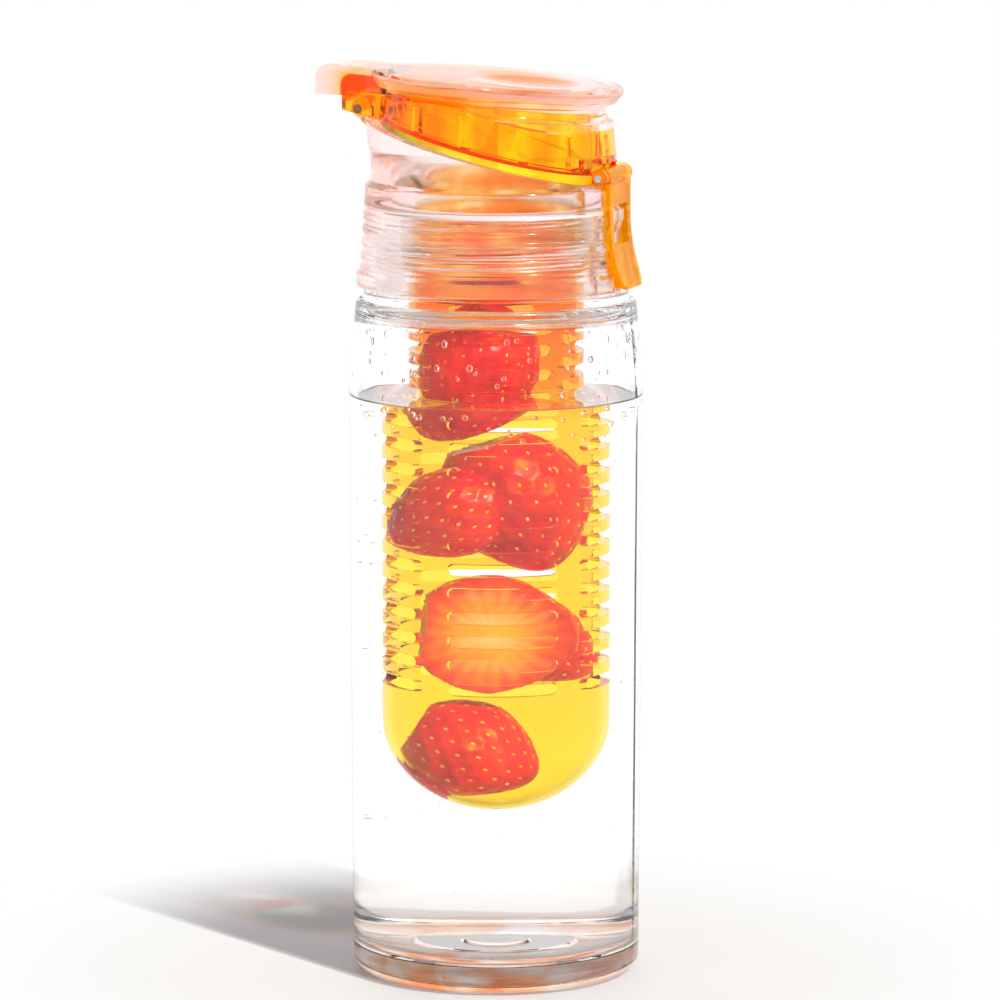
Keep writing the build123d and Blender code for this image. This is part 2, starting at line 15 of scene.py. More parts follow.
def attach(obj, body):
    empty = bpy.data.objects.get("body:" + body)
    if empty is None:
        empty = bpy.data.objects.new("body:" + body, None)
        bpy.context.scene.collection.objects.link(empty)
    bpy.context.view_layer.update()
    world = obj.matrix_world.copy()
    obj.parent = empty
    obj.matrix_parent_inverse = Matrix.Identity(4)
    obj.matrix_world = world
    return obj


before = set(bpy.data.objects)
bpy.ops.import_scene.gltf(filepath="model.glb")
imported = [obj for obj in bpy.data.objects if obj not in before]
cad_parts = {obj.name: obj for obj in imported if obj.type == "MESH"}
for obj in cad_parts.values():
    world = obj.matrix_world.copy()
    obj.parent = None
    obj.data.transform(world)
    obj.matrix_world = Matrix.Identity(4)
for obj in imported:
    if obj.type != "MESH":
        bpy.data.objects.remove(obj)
scene = bpy.context.scene
MM = 0.001
FULL_TURN = 2 * math.pi
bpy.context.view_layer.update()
print("frame loaded, nodes:", ", ".join(sorted(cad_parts)))

# %% [markdown]
# The camera stands where the photographer stood: a long lens, a little to the right of the lid's
# plane of symmetry and a little above the middle of the bottle. The angles were found by fitting
# the bottle's ellipses and heights, so here they are plain numbers.

# %% Camera
VIEW_AZIMUTH = math.radians(16.5)
VIEW_ELEVATION = math.radians(8.13)
VIEW_DISTANCE = 1400 * MM
VIEW_TARGET = Vector((0, 0, 118.6 * MM))
FOCAL_PIXELS = 5616
IMAGE_PIXELS = 1000
AXIS_PIXEL = 496.1
SENSOR = 36.0

back = Vector((
    math.sin(VIEW_AZIMUTH) * math.cos(VIEW_ELEVATION),
    -math.cos(VIEW_AZIMUTH) * math.cos(VIEW_ELEVATION),
    math.sin(VIEW_ELEVATION),
))
lens = bpy.data.cameras.new("camera")
lens.sensor_width = SENSOR
lens.lens = FOCAL_PIXELS / IMAGE_PIXELS * SENSOR
lens.shift_x = (IMAGE_PIXELS / 2 - AXIS_PIXEL) / IMAGE_PIXELS
lens.clip_start = 0.05
lens.clip_end = 50
camera = bpy.data.objects.new("camera", lens)
camera.location = VIEW_TARGET + back * VIEW_DISTANCE
camera.rotation_mode = "QUATERNION"
camera.rotation_quaternion = (-back).to_track_quat("-Z", "Y")
scene.collection.objects.link(camera)
scene.camera = camera
print("camera at", [round(v, 3) for v in camera.location], "lens", round(lens.lens, 1), "mm")

# %% [markdown]
# Light passes this bottle through up to twenty surfaces, so the path needs more bounces than
# Blender's defaults allow. With too few, stacked clear walls turn black.

# %% Bounces for stacked clear walls
BOUNCES = 28
CLEAR_BOUNCES = 32
scene.cycles.max_bounces = BOUNCES
scene.cycles.transmission_bounces = BOUNCES
scene.cycles.glossy_bounces = BOUNCES
scene.cycles.transparent_max_bounces = CLEAR_BOUNCES
scene.view_settings.view_transform = "Standard"
print("bounces:", BOUNCES, "and", CLEAR_BOUNCES, "through clear surfaces")

# %% [markdown]
# Every material here is built from nodes in code, so that each value can be read and changed. A
# few helpers keep that short. One makes a node and feeds its sockets with numbers, colours or what
# other nodes put out, and the rest name the nodes that come up most.

# %% Material helpers


def new_material(name):
    """An empty node material with its output."""
    material = bpy.data.materials.new(name)
    material.use_nodes = True
    tree = material.node_tree
    tree.nodes.clear()
    output = tree.nodes.new("ShaderNodeOutputMaterial")
    return material, tree, output


def node(tree, kind, **settings):
    """A node of that kind, with its plain settings."""
    made = tree.nodes.new(kind)
    for key, value in settings.items():
        setattr(made, key, value)
    return made


def feed(tree, socket, value):
    """Links an output to a socket, or sets the socket to a number or a colour."""
    if isinstance(value, bpy.types.NodeSocket):
        tree.links.new(value, socket)
    elif isinstance(value, tuple) and socket.type == "RGBA":
        socket.default_value = (*value, 1)
    else:
        socket.default_value = value


def fed(tree, kind, values, **settings):
    """A node of that kind with its sockets fed, by name or number."""
    made = node(tree, kind, **settings)
    for key, value in values.items():
        feed(tree, made.inputs[key], value)
    return made


def math_node(tree, operation, first, second=None):
    """A Math node fed by sockets or numbers, as its output."""
    values = {0: first} if second is None else {0: first, 1: second}
    return fed(tree, "ShaderNodeMath", values, operation=operation).outputs[0]


def map_range(tree, value, low, high, new_low, new_high, smooth=False):
    """A Map Range node from low..high to new_low..new_high, as its output."""
    values = {
        "Value": value, "From Min": low, "From Max": high, "To Min": new_low, "To Max": new_high}
    kind = "SMOOTHSTEP" if smooth else "LINEAR"
    return fed(tree, "ShaderNodeMapRange", values, interpolation_type=kind).outputs["Result"]


def colour_ramp(tree, value, stops):
    """A Color Ramp over value from a list of (place, colour), as its output."""
    ramp = node(tree, "ShaderNodeValToRGB")
    elements = ramp.color_ramp.elements
    while len(elements) < len(stops):
        elements.new(0.5)
    for element, (place, colour) in zip(elements, stops):
        element.position = place
        element.color = (*colour, 1)
    feed(tree, ramp.inputs["Fac"], value)
    return ramp.outputs["Color"]


def mix_colour(tree, share, first, second):
    """A colour between two sockets or colours, by share."""
    return fed(tree, "ShaderNodeMix", {0: share, 6: first, 7: second}, data_type="RGBA").outputs[2]


def mix_shader(tree, share, first, second):
    """A shader between two shaders, by share."""
    return fed(tree, "ShaderNodeMixShader", {"Fac": share, 1: first, 2: second}).outputs["Shader"]


def object_place(tree):
    """The object's own coordinates."""
    return node(tree, "ShaderNodeTexCoord").outputs["Object"]


def split(tree, vector):
    """X, Y and Z of a vector, by name."""
    return fed(tree, "ShaderNodeSeparateXYZ", {"Vector": vector}).outputs


def length_of(tree, vector):
    """How long a vector is."""
    return fed(tree, "ShaderNodeVectorMath", {0: vector}, operation="LENGTH").outputs["Value"]


def mapped(tree, vector, values, kind="POINT"):
    """A vector moved, turned or scaled by a Mapping node."""
    made = fed(tree, "ShaderNodeMapping", {"Vector": vector, **values}, vector_type=kind)
    return made.outputs["Vector"]


def noise(tree, vector, scale, **others):
    """A noise in space over a vector. The others are Detail and Distortion, where needed."""
    values = {"Vector": vector, "Scale": scale, **others}
    return fed(tree, "ShaderNodeTexNoise", values, noise_dimensions="3D").outputs["Fac"]


print("material helpers ready")

# %% [markdown]
# Moulded plastic is never perfectly even: the melt leaves slow waves, and hands leave a faint
# haze. Every plastic here shares that effect, so it is one node group with its own scale.

# %% Moulded skin, a shared node group
SMUDGE_RATIO = 2.7
SMUDGE_DETAIL = 5
SMUDGE_START = 0.35
SMUDGE_FULL = 0.7


def make_moulded_skin():
    """Haze for roughness and a slow ripple for a bump, from Object coordinates."""
    group = bpy.data.node_groups.new("moulded_skin", "ShaderNodeTree")
    for name, default in (("Scale", 60.0), ("Haze Low", 0.02), ("Haze High", 0.08)):
        socket = group.interface.new_socket(name, in_out="INPUT", socket_type="NodeSocketFloat")
        socket.default_value = default
    for name in ("Haze", "Ripple"):
        group.interface.new_socket(name, in_out="OUTPUT", socket_type="NodeSocketFloat")
    given = group.nodes.new("NodeGroupInput").outputs
    place = object_place(group)
    waves = noise(group, place, given["Scale"])
    smudge_scale = math_node(group, "MULTIPLY", given["Scale"], SMUDGE_RATIO)
    smudge = noise(group, place, smudge_scale, Detail=SMUDGE_DETAIL)
    mask = map_range(group, smudge, SMUDGE_START, SMUDGE_FULL, 0, 1, smooth=True)
    spread = math_node(group, "SUBTRACT", given["Haze High"], given["Haze Low"])
    haze = math_node(group, "ADD", math_node(group, "MULTIPLY", mask, spread), given["Haze Low"])
    fed(group, "NodeGroupOutput", {"Haze": haze, "Ripple": waves})
    return group


moulded_skin = make_moulded_skin()
print("node group made:", moulded_skin.name)

# %% [markdown]
# Each material places that group with its own scale and its own haze: the body is nearly polished,
# and the collar has been gripped many times.

# %% The skin in a material


def skin_of(tree, scale, haze_low, haze_high):
    """The moulded skin group placed in a material with its values."""
    values = {"Scale": scale, "Haze Low": haze_low, "Haze High": haze_high}
    return fed(tree, "ShaderNodeGroup", values, node_tree=moulded_skin).outputs


print("skin helper ready")

# %% [markdown]
# Orange and yellow walls that face one another are mirrored over and over, so the real bottle shows
# deep orange here and yellow there in one and the same plastic. A path tracer finds little of that
# in the time it has. So that mirrored light is painted into each plastic's colour, as a colour that
# follows the part's own coordinates, and the dark lines at a clear rim are painted shade. The
# helpers take stops of a place in millimetres and a colour.

# %% Painted light that follows a part
PAINTED_RIM_START = 0.88
PAINTED_RIM_BLEND = 0.5


def along(tree, axis, stops):
    """A colour that follows one axis of the object: stops are (place in mm, colour)."""
    low, high = stops[0][0], stops[-1][0]
    share = map_range(tree, split(tree, object_place(tree))[axis], low * MM, high * MM, 0, 1)
    spread = [((spot - low) / (high - low), colour) for spot, colour in stops]
    return colour_ramp(tree, share, spread)


def with_painted_rim(tree, colour, edge, where=None):
    """Painted shade at a rim: the colour turns to edge where a surface is seen along itself, as at
    a glass's rim.
    """
    facing = fed(tree, "ShaderNodeLayerWeight", {"Blend": PAINTED_RIM_BLEND}).outputs["Facing"]
    rim = map_range(tree, facing, PAINTED_RIM_START, 1, 0, 1, smooth=True)
    if where:
        rim = math_node(tree, "MULTIPLY", rim, where)
    return mix_colour(tree, rim, colour, edge)


print("colour helpers ready")

# %% [markdown]
# The basket's colour is painted reflection: yellow under the water, where little is mirrored, and
# orange in the air above. Up in the collar, threads and ribs break it up into patches of painted
# refraction, which a noise stands in for.

# %% The basket's colour, painted reflection
BASKET_REFLECTION_TINTS = [
    (60, (1.0, 0.88, 0.05)), (140, (1.0, 0.80, 0.05)), (149, (1.0, 0.52, 0.04)),
    (168, (1.0, 0.40, 0.05)), (176, (1.0, 0.50, 0.12)), (184, (1.0, 0.68, 0.26)),
    (195, (1.0, 0.70, 0.34))]
REFRACTION_PATCH_LOW = 169
REFRACTION_PATCH_HIGH = 177
REFRACTION_PATCH_SCALE = 75
REFRACTION_PATCH_TINTS = [
    (0.36, (1.0, 0.30, 0.04)), (0.46, (1.0, 0.54, 0.16)),
    (0.55, (1.0, 0.78, 0.50)), (0.66, (1.0, 0.93, 0.85))]


def basket_painted_reflection(tree):
    """Painted reflection: yellow under water and orange in the air, with painted refraction patches
    up in the collar.
    """
    place = object_place(tree)
    inside = map_range(
        tree, split(tree, place)["Z"], REFRACTION_PATCH_LOW * MM, REFRACTION_PATCH_HIGH * MM, 0, 1, smooth=True)
    patches = noise(tree, place, REFRACTION_PATCH_SCALE, Detail=3, Distortion=1.2)
    refraction_patches = colour_ramp(tree, patches, REFRACTION_PATCH_TINTS)
    return mix_colour(tree, inside, along(tree, "Z", BASKET_REFLECTION_TINTS), refraction_patches)


print("basket colours:", len(BASKET_REFLECTION_TINTS), "along its height and", len(REFRACTION_PATCH_TINTS), "refraction_patches")

# %% [markdown]
# The clear cover sits round the orange shell, so its walls look orange where the shell lies close,
# which is near the hinge, and that seen-through orange is painted into the cover's colour. Its
# plate stays pale, but for the dish, which looks down on the shell and gets the shell's orange
# painted in too. Its rims get painted shade. The plate falls towards the clasp, so the height at
# which wall turns to plate falls with it.

# %% The lid cover's colour, with the shell painted in
LID_FALL = 0.0778
LID_TOP = 223.6
WALL_TOP = 221.8
DISH_X = 8.8
DISH_FADE_START = 10.15
DISH_FADE_END = 13.775
DISH_PAINTED_SHELL = (1.0, 0.14, 0.003)
COVER_PAINTED_RIM = (1.0, 0.55, 0.36)
WALL_TONE_AND_PAINTED_SHELL = [
    (-46, (1.0, 0.88, 0.84)), (-42, (1.0, 0.80, 0.66)), (-37, (1.0, 0.46, 0.05)),
    (-4, (1.0, 0.50, 0.08)), (6, (1.0, 0.72, 0.40)), (15, (1.0, 0.92, 0.88)),
    (34, (1.0, 0.93, 0.91))]
PLATE_TONE_AND_PAINTED_SHELL = [
    (-46, (1.0, 0.88, 0.80)), (-36, (1.0, 0.80, 0.62)), (-5, (1.0, 0.88, 0.80)),
    (34, (1.0, 0.94, 0.92))]


def cover_tone_and_painted_light(tree):
    """Pale on top, with the shell's orange painted into the dish and the walls near the hinge, and
    painted shade at the rims.
    """
    place = object_place(tree)
    parts = split(tree, place)
    level = math_node(tree, "ADD", parts["Z"], math_node(tree, "MULTIPLY", parts["X"], LID_FALL))
    wall = map_range(tree, level, WALL_TOP * MM, LID_TOP * MM, 1, 0, smooth=True)
    sides = mix_colour(tree, wall, along(tree, "X", PLATE_TONE_AND_PAINTED_SHELL), along(tree, "X", WALL_TONE_AND_PAINTED_SHELL))
    from_dish = mapped(tree, place, {"Location": (-DISH_X * MM, 0, 0), "Scale": (1, 1, 0)})
    reach = length_of(tree, from_dish)
    dish = map_range(tree, reach, DISH_FADE_START * MM, DISH_FADE_END * MM, 1, 0, smooth=True)
    return with_painted_rim(tree, mix_colour(tree, dish, sides, DISH_PAINTED_SHELL), COVER_PAINTED_RIM)


print("cover colours:", len(WALL_TONE_AND_PAINTED_SHELL), "in the walls and", len(PLATE_TONE_AND_PAINTED_SHELL), "on the plate")

# %% [markdown]
# The body is clear, and only its thick base mirrors the orange basket; that reflection is painted
# into the base as warm, uneven patches. Its upright wall shows as two thin grey lines, where it is
# seen edge on, and these are painted shade, as are the collar's deeper edges. The collar is faintly
# pink.

# %% The body's and the collar's colour, with painted reflection and rim shade
BASE_TOP = 7.4
BASE_FADE = 1
WALL_HIGH = 160
WALL_FADE = 4
BASE_REFLECTION_SCALE = 62
BODY_TINT = (0.995, 0.995, 0.995)
BODY_PAINTED_RIM = (0.42, 0.38, 0.37)
BASE_REFLECTION_TINTS = [
    (0.38, (1.0, 0.28, 0.08)), (0.46, (1.0, 0.52, 0.30)),
    (0.54, (1.0, 0.80, 0.70)), (0.61, (1.0, 0.98, 0.97))]
COLLAR_TINT = (1.0, 0.972, 0.962)
COLLAR_PAINTED_RIM = (0.86, 0.62, 0.57)


def body_tint_and_painted_light(tree):
    """Clear, with a painted reflection of the basket in the base and painted shade at the upright
    wall's rims.
    """
    place = object_place(tree)
    height = split(tree, place)["Z"]
    base_end, wall_start = (BASE_TOP + BASE_FADE) * MM, (BASE_TOP + WALL_FADE) * MM
    base = map_range(tree, height, BASE_TOP * MM, base_end, 1, 0, smooth=True)
    # The warm patches in the base are a painted reflection of the orange basket.
    warm = colour_ramp(tree, noise(tree, place, BASE_REFLECTION_SCALE, Detail=3, Distortion=1), BASE_REFLECTION_TINTS)
    over_base = map_range(tree, height, base_end, wall_start, 0, 1, smooth=True)
    wall_end = (WALL_HIGH + WALL_FADE) * MM
    under_shoulder = map_range(tree, height, WALL_HIGH * MM, wall_end, 1, 0, smooth=True)
    wall = math_node(tree, "MULTIPLY", over_base, under_shoulder)
    return with_painted_rim(tree, mix_colour(tree, base, BODY_TINT, warm), BODY_PAINTED_RIM, wall)


def collar_tint_and_painted_rim(tree):
    """Faintly pink, with painted shade at the edges."""
    return with_painted_rim(tree, COLLAR_TINT, COLLAR_PAINTED_RIM)


print("base colours:", len(BASE_REFLECTION_TINTS), "below", BASE_TOP, "mm")

# %% [markdown]
# Ribs stand behind the lid shell's band, and each shows through it as a deeper stripe, which is
# painted shade in the band's colour. The colour takes them from the angle round the bottle's axis,
# as a wave with one crest for each rib. Along the band, painted light runs from deep orange at the
# hinge to yellow at the clasp.

# %% The lid shell's colour, with painted light and rib shade
RIB_COUNT = 12
RIB_PHASE = 0.9
RIB_START = -0.35
RIB_END = 0.05
SHELL_PAINTED_LIGHT_TINTS = [
    (-37, (1.0, 0.62, 0.10)), (-15, (1.0, 0.88, 0.16)), (5, (1.0, 0.98, 0.20)),
    (31, (1.0, 0.99, 0.24))]
RIB_PAINTED_SHADE_TINTS = [
    (-37, (1.0, 0.55, 0.08)), (-15, (1.0, 0.68, 0.10)), (5, (1.0, 0.78, 0.12)),
    (31, (1.0, 0.88, 0.14))]


def shell_painted_light(tree):
    """Painted light along the band, deep orange at the hinge and yellow at the clasp, and painted
    shade where a rib backs the band.
    """
    parts = split(tree, object_place(tree))
    turn = math_node(tree, "ARCTAN2", parts["Y"], parts["X"])
    waves = math_node(tree, "ADD", math_node(tree, "MULTIPLY", turn, RIB_COUNT), RIB_PHASE)
    ribs = map_range(tree, math_node(tree, "COSINE", waves), RIB_START, RIB_END, 1, 0, smooth=True)
    return mix_colour(tree, ribs, along(tree, "X", SHELL_PAINTED_LIGHT_TINTS), along(tree, "X", RIB_PAINTED_SHADE_TINTS))


print("shell colours:", len(SHELL_PAINTED_LIGHT_TINTS), "along it, with", RIB_COUNT, "ribs behind")

# %% [markdown]
# A Principled shader with full transmission is the plastic itself, and its dye sits in the volume,
# so a thick wall is deeper in colour. Sun and soft room light would reach what is inside only as
# noisy caustics, so a Transparent shader takes over for those rays and tints them. On the floor the
# shadow takes the full tint, and behind other plastic only a share of it, or the fruit goes dull.

# %% Clear and dyed plastics
INNER_SHARE = 0.25
RIPPLE = 0.00003
FINE_RIPPLE = 0.00002
CLEAR_DYE = (0.50, 0.47, 0.48)
PINK_DYE = (0.90, 0.40, 0.38)
ORANGE_DYE = (0.995, 0.90, 0.10)
CLEAR_SHADE = (0.68, 0.65, 0.67)
ORANGE_SHADE = (0.97, 0.80, 0.50)
WATER_SHADE = (0.88, 0.86, 0.87)
CLEAR = (1.0, 1.0, 1.0)
CLASP_TINT = (1.0, 0.57, 0.0)


def see_through(name, colour, shade, ior, skin=None, ripple=0, dye=None, density=0, clearness=1):
    """A clear or dyed plastic, or a liquid where there is no skin. colour is one colour, or a
    function that makes one. shade is what each surface lets through to a shadow. skin is the scale
    and the lowest and highest haze. What isn't clearness scatters the light."""
    material, tree, output = new_material(name)
    tint = colour(tree) if callable(colour) else colour
    plastic = fed(tree, "ShaderNodeBsdfPrincipled", {
        "Base Color": tint, "IOR": ior, "Transmission Weight": clearness, "Roughness": 0})
    if skin:
        moulded = skin_of(tree, *skin)
        bump = fed(tree, "ShaderNodeBump", {
            "Strength": 1, "Distance": ripple, "Height": moulded["Ripple"]})
        feed(tree, plastic.inputs["Roughness"], moulded["Haze"])
        feed(tree, plastic.inputs["Normal"], bump.outputs["Normal"])
    rays = node(tree, "ShaderNodeLightPath").outputs
    within = math_node(tree, "MINIMUM", rays["Transmission Depth"], 1)
    inner = tuple(1 - (1 - part) * INNER_SHARE for part in shade)
    let_through = mix_colour(tree, within, shade, inner)
    clear = fed(tree, "ShaderNodeBsdfTransparent", {"Color": let_through})
    through = math_node(tree, "MAXIMUM", rays["Is Shadow Ray"], rays["Is Diffuse Ray"])
    shown = mix_shader(tree, through, plastic.outputs["BSDF"], clear.outputs["BSDF"])
    feed(tree, output.inputs["Surface"], shown)
    if dye:
        absorb = fed(tree, "ShaderNodeVolumeAbsorption", {"Color": dye, "Density": density})
        feed(tree, output.inputs["Volume"], absorb.outputs["Volume"])
    return material


body_clear = see_through(
    "body_clear", body_tint_and_painted_light, CLEAR_SHADE, ior=1.34, skin=(40, 0.0, 0.02), ripple=FINE_RIPPLE,
    dye=CLEAR_DYE, density=3)
collar_clear = see_through(
    "collar_clear", collar_tint_and_painted_rim, CLEAR_SHADE, ior=1.28, skin=(60, 0.09, 0.20), ripple=RIPPLE,
    dye=PINK_DYE, density=14)
cover_clear = see_through(
    "cover_clear", cover_tone_and_painted_light, CLEAR_SHADE, ior=1.26, skin=(60, 0.04, 0.12), ripple=FINE_RIPPLE,
    dye=PINK_DYE, density=14)
basket_orange = see_through(
    "basket_orange", basket_painted_reflection, ORANGE_SHADE, ior=1.20, skin=(70, 0.01, 0.05), ripple=RIPPLE,
    dye=ORANGE_DYE, density=240)
lid_orange = see_through(
    "lid_orange", shell_painted_light, ORANGE_SHADE, ior=1.22, skin=(60, 0.02, 0.07), ripple=RIPPLE,
    dye=ORANGE_DYE, density=450)
clasp_orange = see_through(
    "clasp_orange", CLASP_TINT, ORANGE_SHADE, ior=1.10, skin=(60, 0.04, 0.10), ripple=RIPPLE,
    dye=ORANGE_DYE, density=500, clearness=0.8)
water_clear = see_through("water_clear", CLEAR, WATER_SHADE, ior=1.30)
print("clear and dyed plastics made")

# %% [markdown]
# The rings are pale silicone with a dusty, uneven sheen, and the pins are ground steel whose fine
# scratches run round the pin.

# %% Silicone and steel
SILICONE_SKIN = (400, 0.4, 0.65)
SILICONE_TINTS = [(0.3, (0.86, 0.85, 0.83)), (0.7, (0.95, 0.95, 0.94))]
SCRATCH_SCALE = 700
SCRATCH_SQUEEZE = (1, 12, 1)
SCRATCH_LOW = 0.3
SCRATCH_HIGH = 0.7


def surface(tree, output, values):
    """A Principled shader with its sockets fed, as the material's surface."""
    shader = fed(tree, "ShaderNodeBsdfPrincipled", values)
    feed(tree, output.inputs["Surface"], shader.outputs["BSDF"])


def make_silicone():
    """Soft, pale silicone with a little grain."""
    material, tree, output = new_material("silicone_pale")
    skin = skin_of(tree, *SILICONE_SKIN)
    surface(tree, output, {
        "Base Color": colour_ramp(tree, skin["Ripple"], SILICONE_TINTS), "Roughness": skin["Haze"],
        "Subsurface Weight": 0.1, "Subsurface Radius": (0.002, 0.002, 0.002)})
    return material


def make_pin_steel(name, dark, light):
    """Ground steel: noise squeezed along the pin's length, for scratches that run round it."""
    material, tree, output = new_material(name)
    squeezed = mapped(tree, object_place(tree), {"Scale": SCRATCH_SQUEEZE})
    scratches = noise(tree, squeezed, SCRATCH_SCALE, Detail=4)
    surface(tree, output, {
        "Base Color": colour_ramp(tree, scratches, [(SCRATCH_LOW, dark), (SCRATCH_HIGH, light)]),
        "Roughness": map_range(tree, scratches, SCRATCH_LOW, SCRATCH_HIGH, 0.2, 0.45),
        "Metallic": 1})
    return material


silicone_pale = make_silicone()
pin_ground = make_pin_steel("pin_ground", (0.45, 0.45, 0.46), (0.68, 0.68, 0.69))
pin_browned = make_pin_steel("pin_browned", (0.20, 0.10, 0.05), (0.36, 0.19, 0.10))
print("made", silicone_pale.name, pin_ground.name, "and", pin_browned.name)

# %% [markdown]
# The CAD nodes keep their shapes, so all that is left to do for them is to swap the plain material
# that each came with for its finish.

# %% Finishes on the CAD nodes
FINISHES = {
    "bottle_body": body_clear,
    "collar": collar_clear,
    "lid_cover": cover_clear,
    "infuser_basket": basket_orange,
    "lid_shell": lid_orange,
    "clasp": clasp_orange,
    "collar_gasket": silicone_pale,
    "infuser_seal": silicone_pale,
    "lid_gasket": silicone_pale,
    "lid_hinge_pin": pin_browned,
    "clasp_pin": pin_ground,
}
for node_name, finish in FINISHES.items():
    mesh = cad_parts[node_name].data
    mesh.materials.clear()
    mesh.materials.append(finish)
print("finishes on", len(FINISHES), "nodes")

# %% [markdown]
# Water fills the bottle to about two thirds. Clear solids that only touch would leave a film of air
# between them, which shines like a mirror, so the water's side reaches a little into the wall. The
# surface climbs the wall by a hair, as water does.

# %% Water
WATER_LEVEL = 145.2 * MM
WATER_RADIUS = 34.8 * MM
WATER_FOOT = 7.2 * MM
MENISCUS = 0.5 * MM
CLIMB_STEPS = 6
CLIMB_REACH = 2.4
CLIMB_CURVE = 1.5
CLIMB_CLEAR = 3
ROUND_SEGMENTS = 128
RING_MARGIN = 0.4 * MM
WELD = 1e-7
SHARP_ANGLE = math.radians(35)


def add_piece(name, bm, materials, body):
    """Turns a bmesh into a smooth piece at the origin that rides on a body."""
    mesh = bpy.data.meshes.new(name)
    bm.to_mesh(mesh)
    bm.free()
    for polygon in mesh.polygons:
        polygon.use_smooth = True
    mesh.set_sharp_from_angle(angle=SHARP_ANGLE)
    for material in materials:
        mesh.materials.append(material)
    piece = bpy.data.objects.new(name, mesh)
    scene.collection.objects.link(piece)
    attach(piece, body)
    print(name, "faces:", len(mesh.polygons))


def spun(outline, segments):
    """A closed solid of revolution: an outline of (radius, height) from axis to axis, spun."""
    bm = bmesh.new()
    points = [bm.verts.new((radius, 0, height)) for radius, height in outline]
    edges = [bm.edges.new(pair) for pair in zip(points, points[1:])]
    bmesh.ops.spin(
        bm, geom=points + edges, cent=(0, 0, 0), axis=(0, 0, 1), angle=FULL_TURN,
        steps=segments, use_merge=True, use_duplicate=False)
    bmesh.ops.remove_doubles(bm, verts=bm.verts, dist=WELD)
    bmesh.ops.recalc_face_normals(bm, faces=bm.faces)
    return bm


climb = []
for step in range(CLIMB_STEPS + 1):
    bend = step / CLIMB_STEPS * math.pi / 2
    climb.append((
        WATER_RADIUS - MENISCUS * (CLIMB_REACH - CLIMB_REACH * math.sin(bend)),
        WATER_LEVEL + MENISCUS * (1 - math.cos(bend)) ** CLIMB_CURVE))
water_outline = [
    (0, WATER_FOOT), (WATER_RADIUS - RING_MARGIN, WATER_FOOT), (WATER_RADIUS, WATER_FOOT),
    (WATER_RADIUS, WATER_FOOT + RING_MARGIN), (WATER_RADIUS, WATER_LEVEL - RING_MARGIN)]
water_outline += list(reversed(climb))
water_outline += [(WATER_RADIUS - CLIMB_CLEAR * MENISCUS, WATER_LEVEL), (0, WATER_LEVEL)]
add_piece("water", spun(water_outline, ROUND_SEGMENTS), [water_clear], "bottle")

# %% [markdown]
# A strawberry's skin is deep red with a wet shine, its seeds are yellow, and its flesh runs from
# pale at the core to red at the rim. The skin and the flesh let some light in, so both have a
# little subsurface scattering, which keeps the shaded side from going black.

# %% Strawberry finishes
SKIN_TINTS = [
    (0.30, (0.62, 0.004, 0.010)), (0.52, (0.88, 0.008, 0.010)), (0.72, (1.0, 0.05, 0.012))]
SEED_TINTS = [(0.35, (0.85, 0.25, 0.03)), (0.6, (0.95, 0.62, 0.12))]
FLESH_TINTS = [
    (0.0, (1.0, 0.62, 0.22)), (0.28, (1.0, 0.50, 0.10)), (0.55, (1.0, 0.30, 0.03)),
    (0.80, (0.92, 0.06, 0.01)), (1.0, (0.70, 0.01, 0.005))]
NOISE_LOW = 0.3
NOISE_HIGH = 0.7
BLOTCH_SCALE = 90
SPOT_SCALE = 250
FLESH_RAYS = 22
RAY_DEPTH = 0.05
WOBBLE_SCALE = 220
WOBBLE_DEPTH = 0.08


def make_berry_skin():
    """Deep red skin that varies slowly, with a wet shine."""
    material, tree, output = new_material("berry_skin")
    blotch = noise(tree, object_place(tree), BLOTCH_SCALE, Detail=4)
    surface(tree, output, {
        "Base Color": colour_ramp(tree, blotch, SKIN_TINTS),
        "Roughness": map_range(tree, blotch, NOISE_LOW, NOISE_HIGH, 0.25, 0.4),
        "Specular IOR Level": 0.3, "Subsurface Weight": 0.3,
        "Subsurface Radius": (0.006, 0.001, 0.0006)})
    return material


def make_seed():
    """Yellow seeds, some redder than others."""
    material, tree, output = new_material("berry_seed")
    spots = noise(tree, object_place(tree), SPOT_SCALE)
    surface(tree, output, {"Base Color": colour_ramp(tree, spots, SEED_TINTS), "Roughness": 0.35})
    return material


def make_flesh(name, centre, across, upright):
    """The cut face: pale at the core, orange round it and red at the rim, with rays outwards."""
    material, tree, output = new_material(name)
    place = object_place(tree)
    from_core = mapped(tree, place, {"Location": tuple(-c for c in centre)})
    squashed = mapped(tree, from_core, {"Scale": (1 / across, 1 / across, 1 / upright)})
    parts = split(tree, squashed)
    angle = math_node(tree, "ARCTAN2", parts["X"], parts["Z"])
    rays = math_node(tree, "SINE", math_node(tree, "MULTIPLY", angle, FLESH_RAYS))
    shift = math_node(tree, "MULTIPLY", rays, RAY_DEPTH)
    wobble = noise(tree, place, WOBBLE_SCALE)
    loose = map_range(tree, wobble, NOISE_LOW, NOISE_HIGH, -WOBBLE_DEPTH, WOBBLE_DEPTH)
    radius = math_node(tree, "ADD", length_of(tree, squashed), shift)
    total = math_node(tree, "ADD", radius, loose)
    surface(tree, output, {
        "Base Color": colour_ramp(tree, total, FLESH_TINTS), "Roughness": 0.3,
        "Subsurface Weight": 0.15, "Subsurface Radius": (0.004, 0.0015, 0.0008)})
    return material


berry_skin = make_berry_skin()
berry_seed = make_seed()
print("berry finishes made")

# %% [markdown]
# A strawberry is a heart-like cone with a dimpled skin and a seed in every dimple. An icosphere
# gives even faces all round. Its points are moved by one shape rule, pressed in where a seed
# sits, and the seeds are small icospheres laid on the same rule along a spiral, which spaces
# them evenly. The halved berry is cut by a plane, and its cut face is filled.

